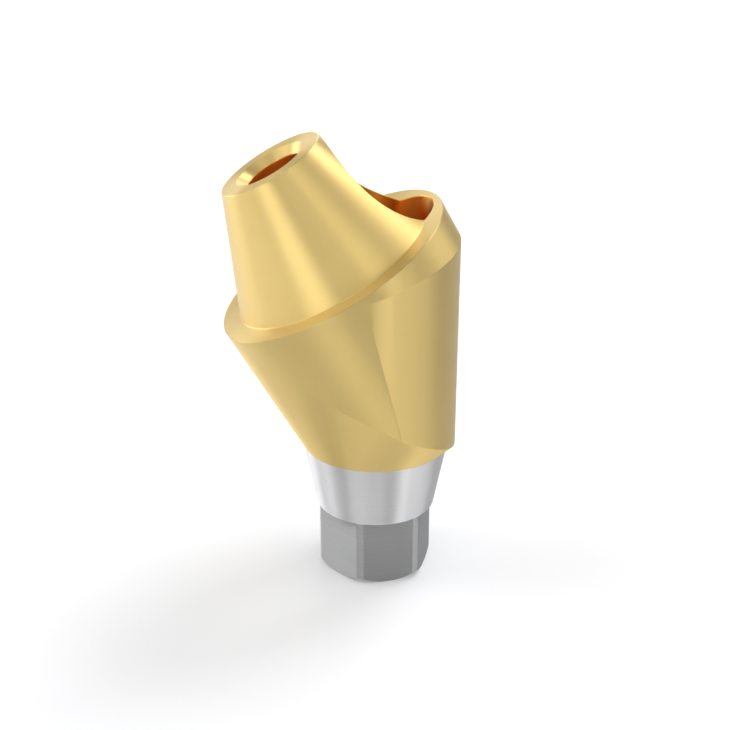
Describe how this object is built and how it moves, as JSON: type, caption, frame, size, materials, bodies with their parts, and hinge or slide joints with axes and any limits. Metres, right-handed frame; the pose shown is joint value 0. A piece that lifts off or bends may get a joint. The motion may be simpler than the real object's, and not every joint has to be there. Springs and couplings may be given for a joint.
{
  "type": "angled dental abutment",
  "caption": "Angled screw-retained dental implant abutment: hexagon and sealing cone below, leaning tapered post on a round platform above, with a through screw channel.",
  "frame": {"origin": "centre of the hexagon's end face, on the axis of the implant", "axes": "+Z along the implant axis from the hexagon towards the head, the head leans towards -X, over a corner of the hexagon"},
  "size_m": [0.0046, 0.0048, 0.009],
  "materials": {
    "coated_titanium": "satin"
  },
  "bodies": {
    "root": {"abutment_body": "coated_titanium"}
  },
  "joints": []
}
